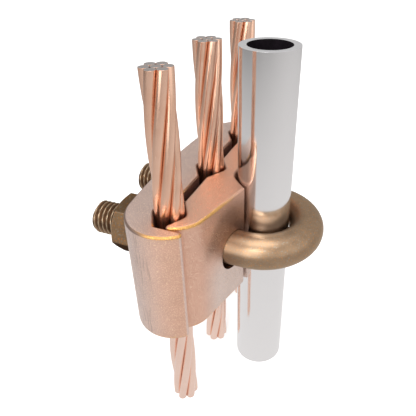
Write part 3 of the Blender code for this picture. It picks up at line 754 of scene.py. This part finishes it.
def mirrorSteel(name, values):
    # bright drawn tube: nearly a mirror, with a very slow change of gloss, and a painted dark reflection of
    # the casting above the saddle
    material, tree, shader, place = newMaterial(name)
    at = parts(tree, place)
    haze = spread(tree, noise(tree, place, values["haze"], 3.0), values["hazeAt"])
    shade = scaled(values["face"], values["hazeShade"])
    tint = blend(tree, times(tree, haze, values["hazeTint"]), values["face"], shade)
    above = aboveMiddle(tree, at)
    band = spread(tree, above, values["darkReflectionTop"], values["darkReflectionLevel"])
    band = times(tree, band, spread(tree, above, values["darkReflectionFoot"]))
    back = maths(tree, "SUBTRACT", at["Y"], homeY)
    # painted dark reflection of the casting above the saddle
    tint = blend(tree, times(tree, band, spread(tree, back, values["darkReflectionBack"])), tint, values["darkReflection"])
    rough = maths(tree, "ADD", values["roughness"], times(tree, haze, values["hazeRough"]))
    connect(tree, shader, {"Base Color": tint, "Roughness": rough, "Metallic": 1.0})
    return material


def boreScaleAndShade(name, values):
    # dull dark mill scale inside the tube, painted near black as the bore's shade
    material, tree, shader, place = newMaterial(name)
    patches = spread(tree, noise(tree, place, values["scale"], 3.0), values["scaleAt"])
    tint = blend(tree, patches, values["bore"], scaled(values["bore"], values["scalePale"]))
    connect(tree, shader, {"Base Color": tint, "Roughness": values["boreRoughness"], "Metallic": 0.0})
    connect(tree, shader, {"Specular IOR Level": values["boreGloss"]})
    return material


lineGroup = buildLineGroup()
grainGroup = buildGrainGroup()
edgeGroup = buildEdgeGroup()
patinaGroup = buildPatinaGroup()
frontMetal = castMetal("frontCastCopper", frontCopper)
rearMetal = castMetal("rearCastCopper", rearCopper)
boltMetal = patinaMetal("boltBronze", boltBronze)
nutMetal = patinaMetal("nutBronze", nutBronze)
wireMetal = drawnWire("drawnCopper", wireCopper)
wireEnd = sawnEnd("wireCutEnd", wireCopper["cut"], wireCopper["cutRoughness"], wireCopper["cutMarks"])
tubeMetal = mirrorSteel("brightTube", rodSteel)
tubeEnd = sawnEnd("tubeCutEnd", rodSteel["end"], rodSteel["endRoughness"], rodSteel["endMarks"])
tubeBore = boreScaleAndShade("tubeBore", rodSteel)
print("materials built")


# The two castings

frontShape = castBlock(frontPlan(), casting["height"], casting["rounding"])
front = makePiece("frontCasting", frontShape, None, materials=[frontMetal])
frontHoles = [legHole(f"frontHole{side}", side * casting["legs"], **holes["front"]) for side in (-1, 1)]
carved(front, [], frontHoles, "front_half", "front_body")
rearShape = castBlock(rearPlan(), casting["height"], casting["rounding"])
rear = makePiece("rearCasting", rearShape, None, materials=[rearMetal])
padFace = casting["row"] + casting["slit"] / 2 + pad["face"]
pads = [padBoss(f"pad{side}", side * casting["legs"], padFace) for side in (-1, 1)]
rearHoles = [legHole(f"rearHole{side}", side * casting["legs"], **holes["rear"]) for side in (-1, 1)]
carved(rear, pads, rearHoles, "rear_half", "rear_body")
print("castings made")


# U-bolt and nuts

thread = {
    "pitch": 2.0,
    "depth": 1.15,
    "steepness": 1.3,        # of the groove's flanks: more leaves wider crests
    "root": 0.12,            # more leaves wider flat roots
    "bar": 7.0,              # radius of the bar
    "start": 30.0,           # where the thread starts behind the rod's axis
    "runout": 2.5,           # over what length it deepens there
    "clearance": 0.12,       # between the bolt's thread and the nuts'
    "grooveDark": 1.6, "wear": 3.0,    # how fast the darkening rises and the wear falls into the groove
}
bolt = {
    "legs": 18.5,            # from the rod's axis to each leg, and the bend's radius
    "bendY": 0.55,           # how far behind the rod's axis the bend starts
    "end": 66.975,           # from the rod's axis to the legs' ends
    "rise": 0.8,             # how far the bolt stands above the rod's middle
    "chamfer": 0.8,
    "around": 48,            # points round the bar
    "step": 0.16,            # between rows on the threaded part
    "plain": (24, 18, 12, 6, 3),   # rows on the legs' plain part
}
nut = {
    "flats": 22.0,           # width across the flats
    "corner": 12.55,         # the hexagon's radius at its blunted corners
    "height": 12.8,
    "face": 10.45,           # radius of the flat faces
    "chamfer": 30.0,         # in degrees
    "centre": 48.375,        # from the rod's axis to the nuts' middle
    "mouth": 7.6,            # radius of the bore's mouth
    "mouthDepth": 0.6,
    "turn": 7.2,             # how far the flats stand past level, in degrees
    "beside": (0.3, 0.35, 0.25),   # to the rows beside the mouth's and the chamfer's edges
}


def threadDepth(y, turn):
    # right-hand thread about +Y: deepest half a pitch from each crest, with flattened crests and roots
    phase = (y / thread["pitch"] - turn / (2 * np.pi)) % 1.0
    wave = np.abs(2 * phase - 1)
    return thread["depth"] * np.clip(1.0 - (wave * thread["steepness"] - thread["root"]), 0, 1)


def boltSurface():
    # a circle carried along a leg, a half circle and the other leg; on the legs its radius loses the thread's
    # depth, and near their ends the chamfer. Also how deep in the thread each point lies, 0 to 1, and whether
    # it is threaded.
    end, bendY, legs = bolt["end"], bolt["bendY"], bolt["legs"]
    fine = np.arange(end - bolt["step"] / 2, thread["start"] - 3, -bolt["step"])
    legY = np.concatenate([[end], fine, bolt["plain"]])
    bend = np.radians(np.linspace(0, -180, 73))
    x = np.concatenate([np.full(len(legY), legs), legs * np.cos(bend), np.full(len(legY), -legs)])
    y = np.concatenate([legY, bendY + legs * np.sin(bend), legY[::-1]])
    normalX = np.concatenate([np.ones(len(legY)), np.cos(bend), -np.ones(len(legY))])
    normalY = np.concatenate([np.zeros(len(legY)), np.sin(bend), np.zeros(len(legY))])
    around = np.radians(np.arange(bolt["around"]) * 360 / bolt["around"])
    sideways, upward = np.cos(around)[None], np.sin(around)[None]
    turn = np.arctan2(sideways * normalX[:, None], upward)
    share = np.clip((y - thread["start"]) / thread["runout"], 0, 1)[:, None]
    radius = thread["bar"] - threadDepth(y[:, None], turn) * share
    radius = np.minimum(radius, (thread["bar"] - bolt["chamfer"] + end - y)[:, None])
    points = np.stack([x[:, None] + radius * sideways * normalX[:, None],
                       y[:, None] + radius * sideways * normalY[:, None],
                       bolt["rise"] + radius * upward], -1)
    return points, threadDepth(y[:, None], turn) / thread["depth"] * share, share * np.ones_like(turn)


def nutSurface(legX):
    # a closed profile turned round the leg: threaded bore, flat face, chamfer, hexagon side and back.
    # The hexagon's radius is half its width over the cosine of the angle from the nearest flat's middle,
    # and its flats stand the nut's turn past the level. The wear is 1 along the outer edges and falls to 0
    # beside them.
    half, face, mouth = nut["height"] / 2, nut["face"], nut["mouth"]
    pastMouth, insideFace, belowChamfer = nut["beside"]
    fromFlat = np.radians(np.concatenate([[-30, -29, -28, -27], np.linspace(-25, 25, 11), [27, 28, 29]]))
    turn = (np.radians(60 * np.arange(6) - nut["turn"])[:, None] + fromFlat[None]).ravel()
    hexagon = np.minimum(nut["flats"] / 2 / np.cos(np.tile(fromFlat, 6)), nut["corner"])
    chamfer = half - (hexagon - face) * math.tan(math.radians(nut["chamfer"]))
    cornerWear = np.tile(np.clip(np.abs(np.degrees(fromFlat)) - 29, 0, 1), 6)
    inner = np.linspace(-half + nut["mouthDepth"], half - nut["mouthDepth"], 73)[:, None]
    bore = thread["bar"] + thread["clearance"] - threadDepth(nut["centre"] + inner, turn[None])
    rows = [(mouth, half, 0), (mouth + pastMouth, half, 0), (face - insideFace, half, 0), (face, half, 1),
            (hexagon, chamfer, 1), (hexagon, chamfer - belowChamfer, cornerWear)]
    stacks = [np.stack([row[k] * np.ones(len(turn)) for row in rows]) for k in range(3)]
    outerRadius, outerLevel, outerWear = stacks
    radius = np.vstack([bore, outerRadius, outerRadius[::-1]])
    level = np.vstack([inner * np.ones(len(turn)), outerLevel, -outerLevel[::-1]])
    wear = np.vstack([np.zeros_like(bore), outerWear, outerWear[::-1]])
    points = [legX + radius * np.sin(turn), nut["centre"] + level, bolt["rise"] + radius * np.cos(turn)]
    return np.stack(points, -1), wear


def addAttribute(piece, label, values):
    # one number for each point of a piece, which its material reads by name
    attribute = piece.data.attributes.new(label, "FLOAT", "POINT")
    attribute.data.foreach_set("value", values.ravel().astype(np.float32))


boltPoints, boltDepth, threaded = boltSurface()
made = makePiece("uBolt", boltPoints, "rod_bolt", ["u_bolt"], [boltMetal])
# darker down in the thread's groove
addAttribute(made, "grooveDark", np.clip(boltDepth * thread["grooveDark"], 0, 1))
addAttribute(made, "wear", np.clip(1 - boltDepth * thread["wear"], 0, 1) * threaded)
for label, side in (("near", -1), ("far", 1)):
    nutPoints, nutWear = nutSurface(side * bolt["legs"])
    node = f"nut_{label}"
    made = makePiece(f"{label}Nut", nutPoints, node, [node], [nutMetal], closedRows=True)
    addAttribute(made, "wear", nutWear)
print("U-bolt and nuts made")


# Earth rod

tube = {
    "radius": 10.65, "bore": 7.88, "length": 147.0,
    "rim": 0.03,             # radius of the rims' rounding
    "guard": 0.05,           # from the rim to a row that keeps the wall shading straight
    "around": 160,           # points round the tube
    "boreSkin": 0.12,        # faces no further than this outside the bore's radius take the scale
    "levelled": 0.05,        # of the normal's Z: faces past it are part of the cut end
}


def tubeSurface():
    # a closed wall profile turned round the rod's axis, with its four rims rounded by quarter circles
    top, rim, outer, bore = tube["length"] / 2, tube["rim"], tube["radius"], tube["bore"]
    turn = np.radians(np.linspace(0, 90, 5))
    outerR = outer - rim * (1 - np.sin(turn))
    innerR = bore + rim * (1 - np.sin(turn))
    lift = top - rim * (1 - np.cos(turn))
    straight = top - rim - tube["guard"]
    radius = np.concatenate([outerR, [outer] * 2, outerR[::-1], innerR, [bore] * 2, innerR[::-1]])
    down = np.concatenate([lift, [straight, -straight], -lift[::-1]])
    angle = np.arange(tube["around"]) * 2 * np.pi / tube["around"]
    return turned(radius, np.concatenate([down, down[::-1]]), angle)


def tubeSlots(piece):
    # bore faces take the dark scale, painted near black as the bore's shade, level faces the cut end, and
    # the rest stays bright
    mesh = piece.data
    centres, normals = (np.empty(len(mesh.polygons) * 3, np.float32) for _ in range(2))
    mesh.polygons.foreach_get("center", centres)
    mesh.polygons.foreach_get("normal", normals)
    centres, normals = centres.reshape(-1, 3) - home, normals.reshape(-1, 3)
    inBore = np.hypot(centres[:, 0], centres[:, 1]) / mm < tube["bore"] + tube["boreSkin"]
    cut = np.abs(normals[:, 2]) > tube["levelled"]
    slots = np.where(inBore, 1, np.where(cut, 2, 0))
    mesh.polygons.foreach_set("material_index", slots.astype(np.int32))


shape, metals = tubeSurface(), [tubeMetal, tubeBore, tubeEnd]
rod = makePiece("earthRod", shape, "rod_bolt", ["earth_rod"], metals, closedRows=True)
tubeSlots(rod)
print("rod made")


# Conductors

strand = {
    "radius": 1.74,
    "pitchRadius": 3.5,      # from the conductor's axis to a laid wire's
    "lay": 147.0,            # length of one full turn
    "length": 147.0,
    "rim": 0.03,             # chamfer at the cut ends
    "guard": 1.0,            # from each end to the first of the even rows
    "around": 28, "steps": 110,    # points round a wire, and rows along it
}


def strandSurface(x, place):
    # a circle carried up a helix: its centre turns by 360 degrees in each lay, and the cut ends stay level.
    # Place 0 is the straight core; places 1 to 6 stand 60 degrees apart, the first on the +X side at the top.
    top, rim, guard = strand["length"] / 2, strand["rim"], strand["guard"]
    even = np.linspace(-top + guard, top - guard, strand["steps"])
    level = np.concatenate([[-top, -top + rim], even, [top - rim, top]])
    radius = np.full(len(level), strand["radius"])
    radius[[0, -1]] -= rim
    turn = 2 * np.pi * ((level - top) / strand["lay"] + (place - 1) / 6)
    offset = strand["pitchRadius"] if place else 0.0
    lean = math.sqrt(1 + (2 * np.pi * offset / strand["lay"]) ** 2)
    around = np.arange(strand["around"]) * 2 * np.pi / strand["around"]
    outward, sideways = radius[:, None] * np.cos(around), lean * radius[:, None] * np.sin(around)
    across = (offset + outward) * np.cos(turn)[:, None] - sideways * np.sin(turn)[:, None]
    along = (offset + outward) * np.sin(turn)[:, None] + sideways * np.cos(turn)[:, None]
    return np.stack([x + across, casting["row"] + along, np.broadcast_to(level[:, None], across.shape)], -1)


wireMetals = [wireMetal, wireEnd]
for label, side in (("near", -1), ("middle", 0), ("far", 1)):
    for place in range(7):
        node = f"conductor_{label}_" + (f"strand_{place}" if place else "core")
        name = f"{label}Conductor" + (f"Strand{place}" if place else "Core")
        surface = strandSurface(side * casting["pitch"], place)
        makePiece(name, surface, "front_half", [node], wireMetals, capSlot=1)
print("conductors made")


# Floor, light and camera

studio = {
    "floor": 0.80,           # how white the floor is as a surface
    "glow": 0.55,            # the floor's own white, so that the shadow on it stays faint
    "sky": 0.88,             # level of the surrounding light
    "behind": -0.30,         # change of that level towards the side away from the camera
    "away": (0.93, 0.36, 0), "awayAt": (-0.2, 0.9),    # that side's direction, and the limits of the change
    "skyTint": (1, 0.99, 0.98, 1),
    "mirrorTint": (1, 0.985, 0.98, 1),
    "mirrorNear": 0.81,      # the floor's level as it is mirrored, under the part
    "mirrorFall": -0.69, "mirrorCurve": 0.20,          # its change per metre and per square metre outwards
    "mirrorTilt": -0.24, "left": (-0.36, 0.933, 0),    # its change per metre towards the camera's left
    "mirrorLeast": 0.20, "mirrorMost": 0.84,
    "aim": (0, -0.01, 0.07),     # where the lamps point
}
lamps = {
    "keyLamp": {"power": 2.4, "size": 0.5, "place": (-0.12, -0.05, 0.92)},
    "frontLamp": {"power": 1.5, "size": 0.16, "place": (-0.70, -0.10, 0.70)},
    "sideLamp": {"power": 1.0, "size": 1.0, "place": (-0.45, -0.85, 0.28)},
    "fillLamp": {"power": 4.6, "size": 0.8, "place": (-0.98, 0.15, 0.38)},
}
view = {
    "place": (-148.07, -43.44, 109.0),       # in mm from the clamp's own origin
    "azimuth": -68.915, "elevation": 32.582, "roll": -0.225,
    "focal": 449.76, "centre": (232.38, 204.40),       # in pixels of the photograph
    "frame": 416,            # its width and height
    "sensor": 36.0,
}


def emptyTree(owner):
    # the emptied nodes of a material or world, and what kind of ray meets it
    owner.use_nodes = True
    tree = owner.node_tree
    tree.nodes.clear()
    return tree, addNode(tree, "ShaderNodeLightPath").outputs


def mixShader(tree, factor, first, second):
    # the first shader at a factor of 0, the second at 1
    return addNode(tree, "ShaderNodeMixShader", {0: factor, 1: first, 2: second}).outputs[0]


def floorMaterial():
    # matte white with a glow of its own where the camera sees it, and a set level where metal mirrors it:
    # near + distance * (fall + curve * distance) + tilt * distance to the left, kept within two limits
    material = bpy.data.materials.new("paleFloor")
    tree, path = emptyTree(material)
    place = addNode(tree, "ShaderNodeTexCoord").outputs["Object"]
    distance = measure(tree, "LENGTH", place)
    white = (studio["floor"],) * 3 + (1,)
    matte = addNode(tree, "ShaderNodeBsdfDiffuse", {"Color": white}).outputs[0]
    glow = addNode(tree, "ShaderNodeEmission", {"Color": (1, 1, 1, 1), "Strength": studio["glow"]}).outputs[0]
    seen = addNode(tree, "ShaderNodeAddShader", {0: matte, 1: glow}).outputs[0]
    slope = maths(tree, "ADD", times(tree, distance, studio["mirrorCurve"]), studio["mirrorFall"])
    base = maths(tree, "ADD", times(tree, distance, slope), studio["mirrorNear"])
    leftward = times(tree, measure(tree, "DOT_PRODUCT", place, studio["left"]), studio["mirrorTilt"])
    level = maths(tree, "MAXIMUM", maths(tree, "ADD", base, leftward), studio["mirrorLeast"])
    level = maths(tree, "MINIMUM", level, studio["mirrorMost"])
    sockets = {"Color": studio["mirrorTint"], "Strength": level}
    mirrored = addNode(tree, "ShaderNodeEmission", sockets).outputs[0]
    glossy = maths(tree, "MAXIMUM", path["Is Glossy Ray"], path["Is Transmission Ray"])
    shown = mixShader(tree, path["Is Camera Ray"], matte, seen)
    addNode(tree, "ShaderNodeOutputMaterial", {"Surface": mixShader(tree, glossy, shown, mirrored)})
    return material


def buildFloor():
    # a wide disc under the part: rings of points at radii that grow by a fixed ratio
    radii = np.concatenate([[0.02], np.geomspace(0.05, 6.0, 12)])
    angle = np.radians(np.arange(0, 360, 7.5))
    rings = turned(radii, np.full(len(radii), -0.0002), angle)
    faces = gridFaces(len(radii), len(angle))[:, ::-1].tolist() + [list(range(len(angle)))]
    mesh = bpy.data.meshes.new("floor")
    mesh.from_pydata(rings.reshape(-1, 3).tolist(), [], faces)
    mesh.materials.append(floorMaterial())
    floor = bpy.data.objects.new("floor", mesh)
    bpy.context.scene.collection.objects.link(floor)


def buildWorld():
    # surroundings that dim gently towards the side away from the camera, and plain white where it looks
    # straight at them
    world = bpy.data.worlds.new("studioWorld")
    bpy.context.scene.world = world
    tree, path = emptyTree(world)
    direction = addNode(tree, "ShaderNodeTexCoord").outputs["Generated"]
    away = measure(tree, "DOT_PRODUCT", direction, studio["away"])
    level = spread(tree, away, studio["awayAt"], studio["sky"] + studio["behind"], studio["sky"])
    around = addNode(tree, "ShaderNodeBackground", {"Color": studio["skyTint"], "Strength": level}).outputs[0]
    white = addNode(tree, "ShaderNodeBackground", {"Color": (1, 1, 1, 1), "Strength": 1.0}).outputs[0]
    addNode(tree, "ShaderNodeOutputWorld", {"Surface": mixShader(tree, path["Is Camera Ray"], around, white)})


def addLamp(name, power, size, place):
    # a square lamp that points at the clamp
    lamp = bpy.data.lights.new(name, "AREA")
    lamp.energy, lamp.size = power, size
    item = bpy.data.objects.new(name, lamp)
    item.location = place
    aim = Vector(studio["aim"]) - Vector(place)
    item.rotation_mode = "QUATERNION"
    item.rotation_quaternion = aim.to_track_quat("-Z", "Y")
    bpy.context.scene.collection.objects.link(item)


def addCamera():
    # right, up and back of the camera from its azimuth and elevation, then turned by the roll
    a, e, r = (math.radians(view[k]) for k in ("azimuth", "elevation", "roll"))
    back = Vector((math.sin(a) * math.cos(e), -math.cos(a) * math.cos(e), math.sin(e)))
    right = Vector((math.cos(a), math.sin(a), 0))
    up = back.cross(right)
    right, up = math.cos(r) * right + math.sin(r) * up, math.cos(r) * up - math.sin(r) * right
    size = view["frame"]
    data = bpy.data.cameras.new("camera")
    data.sensor_width, data.lens = view["sensor"], view["focal"] * view["sensor"] / size
    data.shift_x, data.shift_y = (size / 2 - view["centre"][0]) / size, (view["centre"][1] - size / 2) / size
    data.clip_start, data.clip_end = 0.005, 50
    camera = bpy.data.objects.new("camera", data)
    facing = Matrix((right, up, back)).transposed().to_4x4()
    camera.matrix_world = Matrix.Translation(Vector(np.array(view["place"]) * mm + home)) @ facing
    bpy.context.scene.collection.objects.link(camera)
    bpy.context.scene.camera = camera


buildFloor()
buildWorld()
for name, values in lamps.items():
    addLamp(name, **values)
addCamera()
bpy.context.scene.view_settings.view_transform = "Standard"
print("floor, light and camera set")
